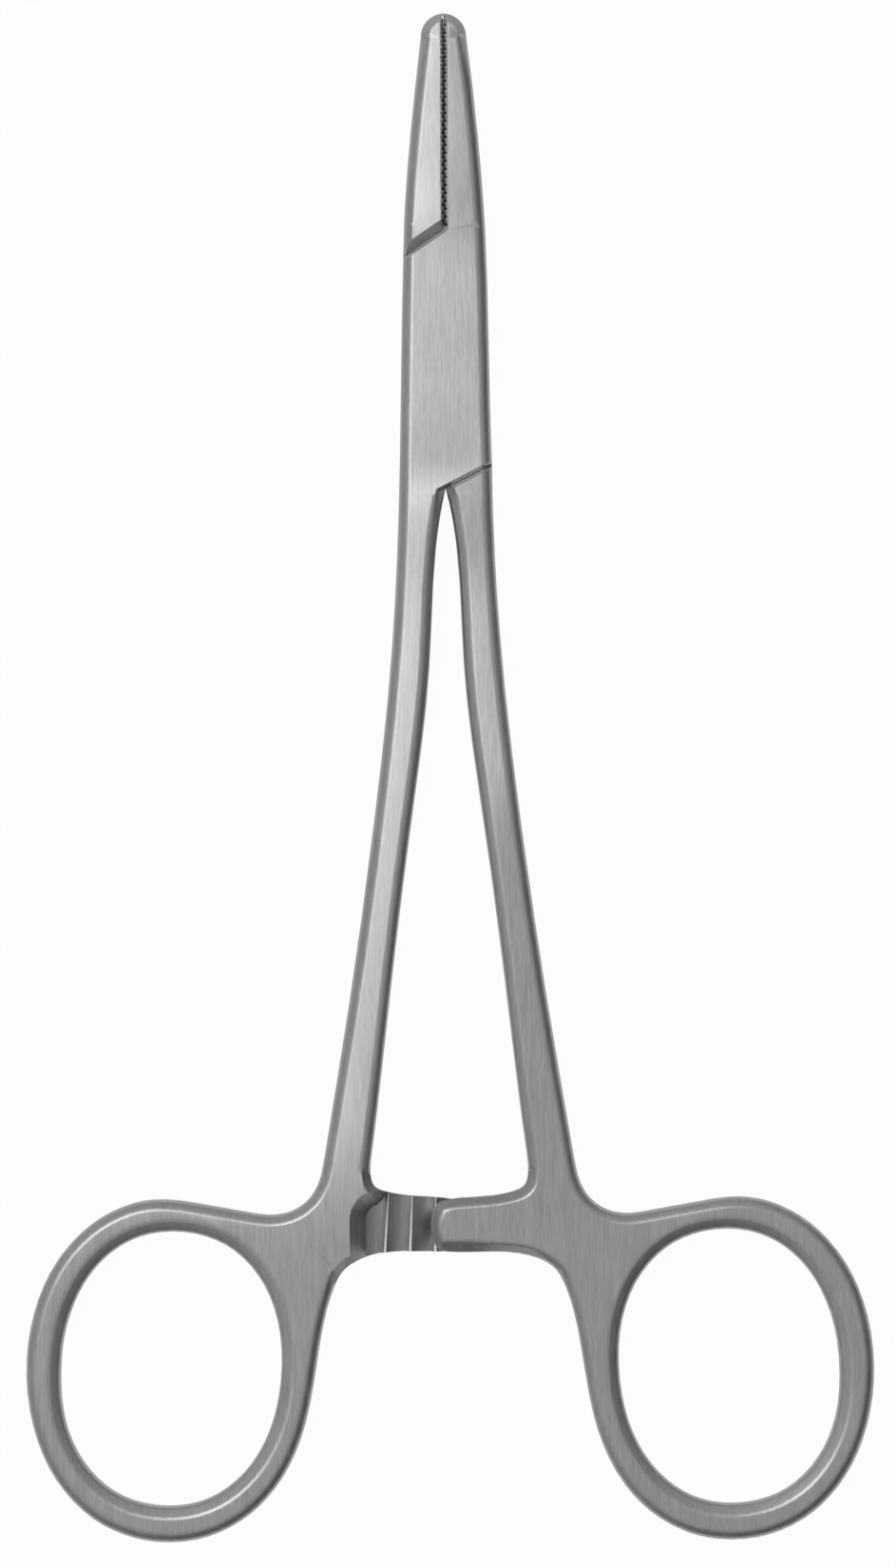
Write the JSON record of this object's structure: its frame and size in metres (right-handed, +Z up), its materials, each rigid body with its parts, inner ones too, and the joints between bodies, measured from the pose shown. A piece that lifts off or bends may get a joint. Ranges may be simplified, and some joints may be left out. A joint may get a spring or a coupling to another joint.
{
  "type": "surgical needle holder",
  "caption": "Box-lock surgical needle holder lying closed, with short cross-cut jaws, slim shanks, a ratchet lock and oval finger rings.",
  "frame": {"origin": "pivot axis on the underside of the box lock, the face the tool rests on", "axes": "+Y from the pivot to the tip of the jaws, +X to the right ring, +Z up along the pivot axis"},
  "size_m": [0.0832, 0.1499, 0.0054],
  "materials": {
    "box_half": "satin",
    "tongue_half": "satin",
    "pivot_pin": "satin"
  },
  "bodies": {
    "box_side": {"box_half": "box_half", "pivot_pin": "pivot_pin"},
    "tongue_side": {"tongue_half": "tongue_half"}
  },
  "joints": [
    {"name": "box_lock", "type": "hinge", "parent": "box_side", "child": "tongue_side", "pos_m": [0, 0, 0.0027], "axis": [0, 0, 1], "range_deg": [0, 45]}
  ]
}
